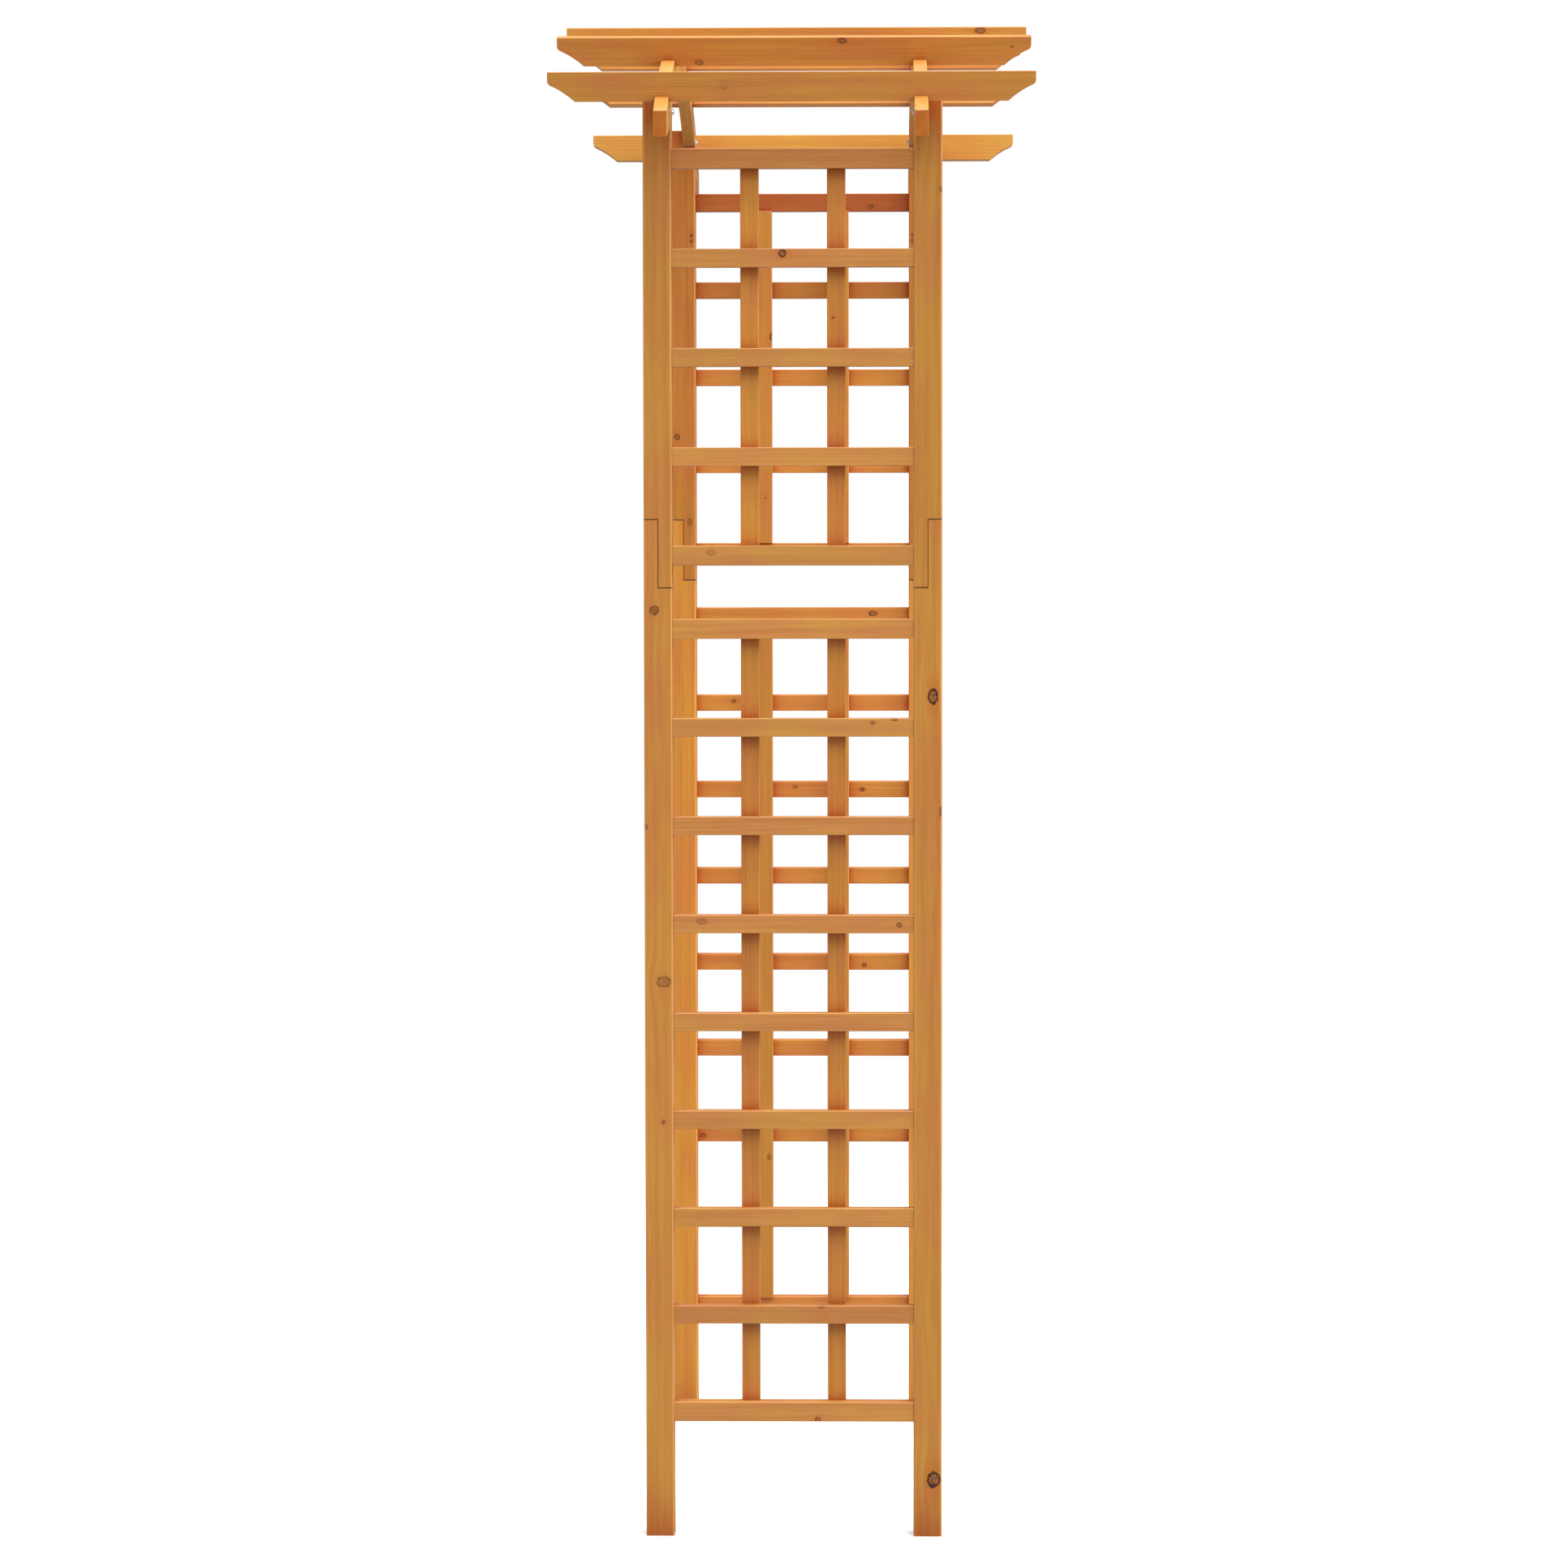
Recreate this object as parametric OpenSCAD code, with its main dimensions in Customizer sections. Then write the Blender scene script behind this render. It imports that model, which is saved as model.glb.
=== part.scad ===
// Wooden garden arbor: two trellis side panels joined by a pair of arched rafters and cross slats.
// X runs across a panel, Y runs through the arch from the front panel to the back one, Z is up.
// The origin is on the ground, under the middle of the arch. All sizes are in millimetres.

/* [Panels] */
// Width of a side panel over its two posts
panel_w = 420; // [360:5:520]
// Distance between the centre planes of the two side panels
span = 900; // [860:10:960]
// Side of the square posts
post_s = 40; // [38:1:45]
// Height of the posts' tops above the ground
post_top = 2062; // [2056:1:2068]

/* [Half-lap in each post] */
// Height of the lower shoulder of the half-lap
lap_low = 1348; // [1340:1:1360]
// Length of the half-lap
lap_len = 96; // [90:1:100]
// Gap left at each shoulder of the half-lap
lap_gap = 0.2; // [0.1:0.1:1]

/* [Rails] */
// Height of the middle rails
rail_h = 26; // [22:1:30]
// Thickness of the middle rails
rail_t = 19; // [16:1:20]
// Height of the first and last rail of each section
end_rail_h = 28; // [24:1:32]
// Thickness of the first and last rail of each section
end_rail_t = 24; // [20:1:30]
// Depth of the rails behind the outer faces of the posts
rail_setback = 2; // [1:1:4]
// Distance from one rail to the next
rail_pitch = 139; // [136:1:140]
// Height of the lowest rail's centre line
lower_rail_z = 178; // [160:1:185]
// Number of rails in the lower section of a panel
lower_rails = 9; // [4:1:9]
// Height of the centre line of the upper section's lowest rail
upper_rail_z = 1393; // [1385:1:1398]
// Number of rails in the upper section of a panel
upper_rails = 5; // [3:1:5]

/* [Uprights] */
// Width of the lattice uprights
upright_w = 26; // [20:1:32]
// Thickness of the lattice uprights
upright_t = 16; // [12:1:16]

/* [Rafters] */
// Radius of the rafters' top edge
rafter_r = 1390; // [1380:1:1400]
// Height of the rafters' top edge at the crown
crown_z = 2140; // [2136:1:2144]
// Width of the curved part of a rafter, along its radius
rafter_w = 32; // [28:1:36]
// Thickness of the rafter boards
rafter_t = 19; // [16:1:20]
// Distance from the middle of the arch to the plumb-cut rafter tails
tail_y = 600; // [580:1:620]
// Height of a rafter's foot where it enters the housing in the post
foot_z = 2006; // [2000:1:2010]

/* [Slats] */
// Length of the cross slats
slat_l = 676; // [600:2:760]
// Height of the cross slats
slat_h = 41; // [38:1:50]
// Thickness of the cross slats
slat_t = 18; // [14:1:22]
// Depth of the notches that fit over the rafters
slat_notch = 9; // [6:1:12]
// Number of cross slats
slats = 6; // [2:2:6]
// Angle from one slat to the next, seen from the centre of the arch
slat_step = 9.1; // [8:0.1:9.4]
// Lean of the first and last slats from plumb, in degrees. The others stand square to the arch
end_lean = 5; // [0:1:20]
// How much deeper the first and last slats are notched
end_drop = 1.2; // [0:0.2:3]

/* [Slat ends] */
// Length of the shaped lower corner
end_l = 38; // [30:1:50]
// Height of the plain upper part of the end
end_flat = 12.5; // [8:0.5:15]
// Radius of the rounded corner under it
end_round = 7; // [4:1:8]
// Slope of the hollow curve where it leaves the rounded corner, in degrees
end_slope = 24; // [18:1:26]

/* [Hidden] */
$fn = 48;
wood = "#C9893F";
roof_wood = "#B8763A";
steel = "#C8CCD0";

eps = 1;
screw_gap = 0.1;
arc_steps = 5;
big_arc_fn = 720;

post_in = panel_w / 2 - post_s;
post_mid = panel_w / 2 - post_s / 2;
post_out = panel_w / 2;
y_in = span / 2 - post_s / 2;
y_out = span / 2 + post_s / 2;
lap_high = lap_low + lap_len;

rail_y1 = y_out - rail_setback;
rail_y0 = rail_y1 - rail_t;
end_rail_y0 = rail_y1 - end_rail_t;
tenon_l = 12;
tenon_w = 12;
tenon_h = 16;
tenon_y = (rail_y0 + rail_y1) / 2;
joint_gap = 0.2;

upright_y0 = rail_y0 - upright_t;
cell_w = (2 * post_in - 2 * upright_w) / 3;
upright_x = cell_w / 2 + upright_w / 2;

arc_z = crown_z - rafter_r;
rafter_in_r = rafter_r - rafter_w;
tail_low_z = arc_z + sqrt(rafter_in_r * rafter_in_r - tail_y * tail_y);
foot_slope = (foot_z - tail_low_z) / (tail_y - y_in);
rafter_x = post_in + rafter_t / 2;

brad_r = 0.8;
brad_l = 28;
brad_head_r = 1.6;
brad_head_h = 1;
lap_screw_r = 2;
lap_screw_l = 34;
lap_screw_inset = 18;
slat_screw_r = 2;
slat_screw_l = 50;
flat_head_r = 4;
flat_head_h = 2.4;
rafter_screw_r = 2.4;
rafter_screw_l = 34;
dome_r = 5;
dome_h = 4;
rafter_screw_z = [2015, 2044];

panels = ["front", "back"];
sides = ["left", "right"];
sections = ["lower", "upper"];

function sign_of(i) = i == 0 ? -1 : 1;
function rails_in(section) = section == "lower" ? lower_rails : upper_rails;
function rail_z(section, k) = (section == "lower" ? lower_rail_z : upper_rail_z) + (k - 1) * rail_pitch;
function is_end(section, k) = k == 1 || k == rails_in(section);
function slat_angle(i) = (i - (slats + 1) / 2) * slat_step;
function is_end_slat(i) = i == 1 || i == slats;
function slat_lean(i) = is_end_slat(i) ? sign(slat_angle(i)) * end_lean : slat_angle(i);
function slat_seat(i) = slat_notch + (is_end_slat(i) ? end_drop : 0);
function foot_line(y) = foot_z - foot_slope * (y - y_in);

// Everything below is drawn in the quarter where X and Y are positive, and placed by mirroring.
module corner(side, panel) {
    mirror([side < 0 ? 1 : 0, 0, 0])
        mirror([0, panel < 0 ? 1 : 0, 0])
            children();
}

module flat_head_screw(length, radius, grow = 0) {
    translate([0, 0, -length])
        cylinder(h = length, r = radius + grow);
    translate([0, 0, -flat_head_h])
        cylinder(h = flat_head_h, r1 = radius + grow, r2 = flat_head_r + grow);
}

module dome_head_screw(length, radius) {
    dome_sphere_r = (dome_r * dome_r + dome_h * dome_h) / (2 * dome_h);
    translate([0, 0, -length])
        cylinder(h = length, r = radius);
    rotate_extrude()
        intersection() {
            translate([0, dome_h - dome_sphere_r])
                circle(r = dome_sphere_r);
            square([dome_r, dome_h]);
        }
}

module brad(grow = 0) {
    translate([0, 0, -brad_l])
        cylinder(h = brad_l, r = brad_r + grow);
    translate([0, 0, -brad_head_h])
        cylinder(h = brad_head_h, r = brad_head_r + grow);
}

// Screw places, with the screw's axis on local Z and its head on the positive side.
module at_lap_screws() {
    for (z = [lap_low + lap_screw_inset, lap_high - lap_screw_inset])
        translate([post_out, span / 2, z])
            rotate([0, 90, 0])
                children();
}

module at_rafter_screws() {
    for (z = rafter_screw_z)
        translate([post_in, span / 2, z])
            rotate([0, -90, 0])
                children();
}

// The middle of a slat's seat on the rafters' top edge, with local Z up the slat.
module at_slat_seat(i) {
    translate([0, 0, arc_z])
        rotate([-slat_angle(i), 0, 0])
            translate([0, 0, rafter_r])
                rotate([slat_angle(i) - slat_lean(i), 0, 0])
                    children();
}

module at_slat_screw(i) {
    translate([rafter_x, 0, 0])
        at_slat_seat(i)
            translate([0, 0, slat_h - slat_seat(i)])
                children();
}

module at_brads(section, k, sides_x = [-1, 1]) {
    for (sx = sides_x)
        translate([sx * upright_x, upright_y0, rail_z(section, k)])
            rotate([90, 0, 0])
                children();
}

module mortises(section) {
    mortise_w = tenon_w + 2 * joint_gap;
    mortise_h = tenon_h + 2 * joint_gap;
    for (k = [1:rails_in(section)])
        translate([post_in - eps, tenon_y - mortise_w / 2, rail_z(section, k) - mortise_h / 2])
            cube([eps + tenon_l + joint_gap, mortise_w, mortise_h]);
}

module lower_post() {
    color(wood)
        difference() {
            translate([post_in, y_in, 0])
                cube([post_s, post_s, lap_high - lap_gap]);
            translate([post_in - eps, y_in - eps, lap_low])
                cube([post_s / 2 + eps, post_s + 2 * eps, lap_len]);
            mortises("lower");
            at_lap_screws()
                flat_head_screw(lap_screw_l, lap_screw_r, screw_gap);
        }
}

module rafter_housing() {
    translate([post_in - eps, 0, 0])
        rotate([90, 0, 90])
            linear_extrude(height = rafter_t + eps)
                polygon([
                    [y_in - eps, foot_line(y_in - eps)],
                    [y_out + eps, foot_line(y_out + eps)],
                    [y_out + eps, post_top + eps],
                    [y_in - eps, post_top + eps]
                ]);
}

module upper_post() {
    color(wood)
        difference() {
            translate([post_in, y_in, lap_low + lap_gap])
                cube([post_s, post_s, post_top - lap_low - lap_gap]);
            translate([post_mid, y_in - eps, lap_low])
                cube([post_s / 2 + eps, post_s + 2 * eps, lap_len]);
            rafter_housing();
            mortises("upper");
            at_lap_screws()
                flat_head_screw(lap_screw_l, lap_screw_r, screw_gap);
            at_rafter_screws()
                translate([0, 0, -rafter_screw_l])
                    cylinder(h = rafter_screw_l + eps, r = rafter_screw_r + screw_gap);
        }
}

module rail(section, k) {
    height = is_end(section, k) ? end_rail_h : rail_h;
    y0 = is_end(section, k) ? end_rail_y0 : rail_y0;
    z = rail_z(section, k);
    color(wood)
        difference() {
            union() {
                translate([-post_in, y0, z - height / 2])
                    cube([2 * post_in, rail_y1 - y0, height]);
                translate([-post_in - tenon_l, tenon_y - tenon_w / 2, z - tenon_h / 2])
                    cube([2 * (post_in + tenon_l), tenon_w, tenon_h]);
            }
            if (!is_end(section, k))
                at_brads(section, k)
                    brad(screw_gap);
        }
}

module upright(section) {
    z0 = rail_z(section, 1) + end_rail_h / 2;
    z1 = rail_z(section, rails_in(section)) - end_rail_h / 2;
    color(wood)
        difference() {
            translate([upright_x - upright_w / 2, upright_y0, z0])
                cube([upright_w, upright_t, z1 - z0]);
            for (k = [2:rails_in(section) - 1])
                at_brads(section, k, [1])
                    brad(screw_gap);
        }
}

module rafter_outline() {
    difference() {
        translate([0, arc_z])
            intersection() {
                circle(r = rafter_r, $fn = big_arc_fn);
                translate([-tail_y, 0])
                    square([2 * tail_y, rafter_r + eps]);
            }
        intersection() {
            translate([0, arc_z])
                circle(r = rafter_in_r, $fn = big_arc_fn);
            translate([-y_in, 0])
                square([2 * y_in, crown_z]);
        }
        polygon([
            [-tail_y - eps, foot_line(tail_y + eps)],
            [-y_in, foot_z],
            [y_in, foot_z],
            [tail_y + eps, foot_line(tail_y + eps)],
            [tail_y + eps, 0],
            [-tail_y - eps, 0]
        ]);
    }
}

module rafter() {
    color(roof_wood)
        difference() {
            translate([post_in, 0, 0])
                rotate([90, 0, 90])
                    linear_extrude(height = rafter_t)
                        rafter_outline();
            for (i = [1:slats])
                at_slat_screw(i)
                    flat_head_screw(slat_screw_l, slat_screw_r, screw_gap);
            for (panel = [-1, 1])
                corner(1, panel)
                    at_rafter_screws()
                        translate([0, 0, -rafter_screw_l])
                            cylinder(h = rafter_screw_l + eps, r = rafter_screw_r + screw_gap);
        }
}

// Lower corner of a slat end: a plain top, a small round and a long hollow curve to the bottom edge.
module slat_end_cut() {
    round_y = slat_h - end_flat;
    round_end = 270 - end_slope;
    start = [end_round + end_round * cos(round_end), round_y + end_round * sin(round_end)];
    chord = [end_l - start[0], -start[1]];
    chord_l = norm(chord);
    chord_slope = atan2(start[1], chord[0]);
    bend = chord_slope - end_slope;
    hollow_r = chord_l / (2 * sin(bend));
    hollow_c = start + hollow_r * [-sin(end_slope), -cos(end_slope)];
    round_points = [for (i = [0:arc_steps])
        let (a = 180 + (round_end - 180) * i / arc_steps)
            [end_round + end_round * cos(a), round_y + end_round * sin(a)]];
    hollow_points = [for (i = [1:2 * arc_steps])
        let (a = 90 - end_slope - 2 * bend * i / (2 * arc_steps))
            hollow_c + hollow_r * [cos(a), sin(a)]];
    polygon(concat(round_points, hollow_points, [[end_l, -eps], [-eps, -eps], [-eps, round_y]]));
}

module slat_outline() {
    difference() {
        translate([-slat_l / 2, 0])
            square([slat_l, slat_h]);
        for (side = [-1, 1])
            mirror([side > 0 ? 1 : 0, 0])
                translate([-slat_l / 2, 0])
                    slat_end_cut();
    }
}

// The room that both rafters take out of a slat, square to the arch at the slat's seat.
module slat_notches(i) {
    translate([0, 0, arc_z])
        rotate([-slat_angle(i), 0, 0])
            for (side = [-1, 1])
                translate([side * rafter_x - rafter_t / 2 - joint_gap, -slat_h, rafter_r - slat_h])
                    cube([rafter_t + 2 * joint_gap, 2 * slat_h, slat_h]);
}

module slat(i) {
    color(roof_wood)
        difference() {
            at_slat_seat(i)
                translate([0, slat_t / 2, -slat_seat(i)])
                    rotate([90, 0, 0])
                        linear_extrude(height = slat_t)
                            slat_outline();
            slat_notches(i);
            for (side = [-1, 1])
                corner(side, 1)
                    at_slat_screw(i)
                        flat_head_screw(slat_screw_l, slat_screw_r, screw_gap);
        }
}

module lap_screws() {
    color(steel)
        for (side = [-1, 1], panel = [-1, 1])
            corner(side, panel)
                at_lap_screws()
                    flat_head_screw(lap_screw_l, lap_screw_r);
}

module rafter_screws() {
    color(steel)
        for (side = [-1, 1], panel = [-1, 1])
            corner(side, panel)
                at_rafter_screws()
                    dome_head_screw(rafter_screw_l, rafter_screw_r);
}

module slat_screws() {
    color(steel)
        for (side = [-1, 1], i = [1:slats])
            corner(side, 1)
                at_slat_screw(i)
                    flat_head_screw(slat_screw_l, slat_screw_r);
}

module lattice_brads() {
    color(steel)
        for (c = sections)
            for (k = [2:rails_in(c) - 1])
                at_brads(c, k)
                    brad();
}

for (ip = [0, 1], is = [0, 1]) {
    base = str(panels[ip], "_", sides[is], "_");
    corner(sign_of(is), sign_of(ip)) lower_post();
    corner(sign_of(is), sign_of(ip)) upper_post();
    for (c = sections)
        corner(sign_of(is), sign_of(ip)) upright(c);
}
for (ip = [0, 1], c = sections)
    for (k = [1:rails_in(c)])
        corner(1, sign_of(ip)) rail(c, k);
for (ip = [0, 1])
    corner(1, sign_of(ip)) lattice_brads();
for (is = [0, 1])
    corner(sign_of(is), 1) rafter();
for (i = [1:slats])
    slat(i);
lap_screws();
rafter_screws();
slat_screws();
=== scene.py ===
"""The looks of a walk-through garden arbor: honey-stained softwood boards and zinc-plated screws.

Lengths are in metres. Every board is built in its own frame: u runs along the board, v across its outline
and w through its thickness. A mesh attribute keeps those coordinates, so the grain follows each board.
"""
import math
import random

import bmesh
import bpy
from mathutils import Matrix, Vector


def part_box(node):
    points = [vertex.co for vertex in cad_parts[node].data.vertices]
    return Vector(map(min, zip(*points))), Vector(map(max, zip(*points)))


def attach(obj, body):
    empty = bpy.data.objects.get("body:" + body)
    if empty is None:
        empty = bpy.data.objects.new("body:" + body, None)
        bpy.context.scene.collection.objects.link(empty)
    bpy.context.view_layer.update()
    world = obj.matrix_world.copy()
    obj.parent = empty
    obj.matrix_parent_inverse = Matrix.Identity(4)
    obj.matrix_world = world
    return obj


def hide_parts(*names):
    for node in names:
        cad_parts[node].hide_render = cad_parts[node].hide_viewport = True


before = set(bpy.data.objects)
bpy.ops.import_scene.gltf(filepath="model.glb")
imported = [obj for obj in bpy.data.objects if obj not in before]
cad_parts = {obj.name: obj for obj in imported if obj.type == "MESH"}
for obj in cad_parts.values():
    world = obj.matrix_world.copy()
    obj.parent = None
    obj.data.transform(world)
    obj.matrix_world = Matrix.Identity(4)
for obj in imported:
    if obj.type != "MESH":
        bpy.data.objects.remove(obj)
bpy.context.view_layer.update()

# ---------------------------------------------------------------- driving dimensions
MM = 0.001
# Clearance of the half-laps in the CAD model, and the tighter one that shows here.
LAP_GAP = 0.2 * MM
SEEN_LAP_GAP = 0.05 * MM
# Height of a rafter's foot at the inner side of a post, and the depth of the rafter.
FOOT_Z = 2.006
RAFTER_W = 32 * MM
# A slat's section, its notch over a rafter and the clearance beside it.
SLAT_H = 41 * MM
SLAT_T = 18 * MM
SLAT_NOTCH = 9 * MM
NOTCH_GAP = 0.2 * MM
# The first and last slats are notched deeper and stand nearly plumb. They are the ones past this angle.
END_DROP = 1.2 * MM
END_LEAN = math.radians(5)
END_SLATS_FROM = math.radians(18)
# A slat's shaped lower corner: its length, the flat end above it, its round, and the slope where the round
# turns into the hollow.
OGEE_LENGTH = 38 * MM
OGEE_FLAT = 12.5 * MM
OGEE_ROUND = 7 * MM
OGEE_SLOPE = math.radians(24)

# Rounding of the boards' edges: along the grain, on sawn ends, and on the edges that meet in a joint.
POST_ARRIS = 2.6 * MM
RAIL_ARRIS = 1.2 * MM
ROOF_ARRIS = 1.0 * MM
SAWN_ARRIS = 0.5 * MM
SEAM_ARRIS = 0.55 * MM
JOINT_ARRIS = 0.8 * MM
ARRIS_SEGMENTS = 4

# How dark a half-lap's seams are drawn, across the grain and along it: partly a dark joint line, partly
# painted shade in the seam.
SEAM_DARKNESS = {"joint": 1.0, "cheek": 0.55}

# A face whose normal has a w between these is neither a board's side nor its broad face, but an eased edge.
SIDE_FACE, BROAD_FACE = 0.15, 0.985

PANELS = ("front", "back")
SIDES = ("left", "right")
SIGN = {"front": -1, "back": 1, "left": -1, "right": 1}
RAILS = {"lower": 9, "upper": 5}
SLATS = 6

low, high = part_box("front_right_lower_post")
POST_IN, POST_OUT = low.x, high.x
POST_MID = (POST_IN + POST_OUT) / 2
Y_IN, Y_OUT = -high.y, -low.y
LAP_HIGH = high.z + LAP_GAP
low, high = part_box("front_right_upper_post")
LAP_LOW = low.z - LAP_GAP
POST_TOP = high.z
low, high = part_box("right_rafter")
RAFTER_T = high.x - low.x
RAFTER_X = (low.x + high.x) / 2
TAIL_Y, TAIL_LOW_Z, CROWN_Z = high.y, low.z, high.z
INNER_RISE = CROWN_Z - RAFTER_W - TAIL_LOW_Z
INNER_R = (TAIL_Y**2 + INNER_RISE**2) / (2 * INNER_RISE)
OUTER_R = INNER_R + RAFTER_W
ARC_Z = CROWN_Z - OUTER_R


# ---------------------------------------------------------------- boards
def board_frame(centre, u_axis, v_axis):
    """The matrix that takes board coordinates to the row frame."""
    u, v = Vector(u_axis).normalized(), Vector(v_axis).normalized()
    w = u.cross(v)
    matrix = Matrix((u, v, w)).transposed().to_4x4()
    matrix.translation = centre
    return matrix


def cut_board(name, outline, thickness, arris, tweak=None):
    """A board sawn to outline and eased along its edges.

    outline is a list of (u, v, kind), where kind says how the edge that starts there is eased:
    "long" by arris, "sawn" and "seam" by less, and "curve" as "long" without easing the corner itself.
    "joint" and "cheek" are the edges of a lap joint, across and along the grain, where the seam is drawn dark
    with painted shade.
    tweak moves a point of the sawn board before it is eased.
    """
    eased = {"long": arris, "curve": arris, "sawn": SAWN_ARRIS, "seam": SEAM_ARRIS,
             "joint": JOINT_ARRIS, "cheek": JOINT_ARRIS}
    widest = max(eased.values())
    bm = bmesh.new()
    weight = bm.edges.layers.float.new("bevel_weight_edge")
    rings = [[bm.verts.new((u, v, w)) for u, v, _ in outline] for w in (-thickness / 2, thickness / 2)]
    count = len(outline)
    for ring in rings:
        bm.faces.new(ring)
    for i in range(count):
        j = (i + 1) % count
        bm.faces.new((rings[0][i], rings[0][j], rings[1][j], rings[1][i]))
    if tweak:
        for vert in bm.verts:
            tweak(vert)
    bmesh.ops.recalc_face_normals(bm, faces=bm.faces)
    for i in range(count):
        j = (i + 1) % count
        kind = outline[i][2]
        for ring in rings:
            bm.edges.get((ring[i], ring[j]))[weight] = eased[kind] / widest
        corner = bm.edges.get((rings[0][i], rings[1][i]))
        smooth_run = kind == "curve" and outline[i - 1][2] == "curve"
        if corner.is_convex and not smooth_run:
            corner[weight] = SAWN_ARRIS / widest
    mesh = bpy.data.meshes.new(name)
    bm.to_mesh(mesh)
    bm.free()

    rough = bpy.data.objects.new(name + "_rough", mesh)
    bpy.context.scene.collection.objects.link(rough)
    easing = rough.modifiers.new("easing", "BEVEL")
    easing.limit_method = "WEIGHT"
    easing.width = widest
    easing.segments = ARRIS_SEGMENTS
    easing.use_clamp_overlap = False
    rough.data.polygons.foreach_set("use_smooth", [True] * len(mesh.polygons))
    shading = rough.modifiers.new("shading", "WEIGHTED_NORMAL")
    shading.keep_sharp = True
    graph = bpy.context.evaluated_depsgraph_get()
    finished = bpy.data.meshes.new_from_object(rough.evaluated_get(graph), depsgraph=graph)
    finished.name = name
    bpy.data.objects.remove(rough)
    bpy.data.meshes.remove(mesh)
    joints = []
    for (start_u, start_v, kind), (end_u, end_v, _) in zip(outline, outline[1:] + outline[:1]):
        if kind in SEAM_DARKNESS:
            joints.append((SEAM_DARKNESS[kind], Vector((start_u, start_v)), Vector((end_u, end_v))))
    mark_board(finished, joints)
    return finished


def mark_board(mesh, joints):
    """Keeps each point's board coordinates, and says which faces are end grain, eased edges or lap seams."""
    place = mesh.attributes.new("board", "FLOAT_VECTOR", "POINT")
    for vert, item in zip(mesh.vertices, place.data):
        item.vector = vert.co
    end = mesh.attributes.new("end_grain", "FLOAT", "FACE")
    # The eased edges, which the colour lightens: partly rubbed stain, partly a painted highlight.
    eased_edge = mesh.attributes.new("arris", "FLOAT", "FACE")
    seam = mesh.attributes.new("seam", "FLOAT", "FACE")
    for face in mesh.polygons:
        across = abs(face.normal.x)
        through = abs(face.normal.z)
        spot = face.center.xy
        seams = [darkness for darkness, start, end in joints if off_line(spot, start, end) < JOINT_ARRIS]
        in_seam = bool(seams) and through < BROAD_FACE
        end.data[face.index].value = across**2
        seam.data[face.index].value = max(seams) if in_seam else 0.0
        eased_edge.data[face.index].value = 1.0 if SIDE_FACE < through < BROAD_FACE and not in_seam else 0.0


def off_line(spot, start, end):
    """How far a point of the outline's plane is from the straight line between two others."""
    along = max(0.0, min(1.0, (spot - start).dot(end - start) / (end - start).length_squared))
    return (spot - start - along * (end - start)).length


def place_board(name, mesh, matrix, node, material):
    """Puts a finished board in the row frame, in place of its CAD node."""
    mesh.transform(matrix)
    board = bpy.data.objects.new(name, mesh)
    bpy.context.scene.collection.objects.link(board)
    mesh.materials.append(material)
    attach(board, "root")
    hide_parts(node)


# ---------------------------------------------------------------- node helper
class Graph:
    """A short way to write a node tree."""

    def __init__(self, tree):
        self.tree = tree

    def node(self, kind, inputs=(), **settings):
        made = self.tree.nodes.new(kind)
        for key, value in settings.items():
            setattr(made, key, value)
        for key, value in dict(inputs).items():
            self.feed(made.inputs[key], value)
        return made

    def feed(self, socket, value):
        if isinstance(value, bpy.types.NodeSocket):
            self.tree.links.new(value, socket)
        else:
            socket.default_value = value

    def math(self, operation, *values, clamp=False):
        made = self.node("ShaderNodeMath", enumerate(values), operation=operation, use_clamp=clamp)
        return made.outputs[0]

    def vector(self, operation, *values):
        made = self.node("ShaderNodeVectorMath", enumerate(values), operation=operation)
        return made.outputs["Value" if operation in ("LENGTH", "DOT_PRODUCT") else "Vector"]

    def scaled(self, vector, u, v, w):
        return self.vector("MULTIPLY", vector, (u, v, w))

    def split(self, vector):
        return self.node("ShaderNodeSeparateXYZ", {0: vector}).outputs

    def join(self, u, v, w):
        return self.node("ShaderNodeCombineXYZ", {0: u, 1: v, 2: w}).outputs[0]

    def noise(self, vector, scale=1.0, detail=2.0, roughness=0.5, seed=0.0):
        inputs = {"Vector": vector, "W": seed, "Scale": scale, "Detail": detail, "Roughness": roughness}
        return self.node("ShaderNodeTexNoise", inputs, noise_dimensions="4D").outputs["Fac"]

    def ramp(self, value, low, high, to_low=0.0, to_high=1.0):
        """Smoothly from to_low at low to to_high at high."""
        inputs = {"Value": value, "From Min": low, "From Max": high, "To Min": to_low, "To Max": to_high}
        return self.node("ShaderNodeMapRange", inputs, interpolation_type="SMOOTHSTEP").outputs["Result"]

    def mix(self, factor, a, b, blend="MIX"):
        made = self.node("ShaderNodeMix", data_type="RGBA", blend_type=blend)
        self.feed(made.inputs["Factor"], factor)
        self.feed(made.inputs[6], a)
        self.feed(made.inputs[7], b)
        return made.outputs[2]


def srgb(red, green, blue):
    """A colour on the 0 to 255 display scale, as linear light."""
    def linear(value):
        value /= 255
        return value / 12.92 if value <= 0.04045 else ((value + 0.055) / 1.055) ** 2.4
    return (linear(red), linear(green), linear(blue), 1.0)


# ---------------------------------------------------------------- wood
# Stained softwood, from yellow to pink boards. LATE is the dark part of a growth ring, WORN the lighter eased
# edges:
# partly stain rubbed off, partly a painted highlight.
WOOD_YELLOW = srgb(206, 148, 62)
WOOD_PINK = srgb(204, 132, 67)
WOOD_LATE = srgb(170, 99, 38)
WOOD_WORN_HIGHLIGHT = srgb(232, 172, 92)
# What painted shade takes from the wood's colour in corners and nooks, and what the stain takes from it on
# end grain.
WOOD_PAINTED_SHADE = (0.7, 0.33, 0.16, 1.0)
WOOD_END = (0.78, 0.44, 0.12, 1.0)
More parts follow.
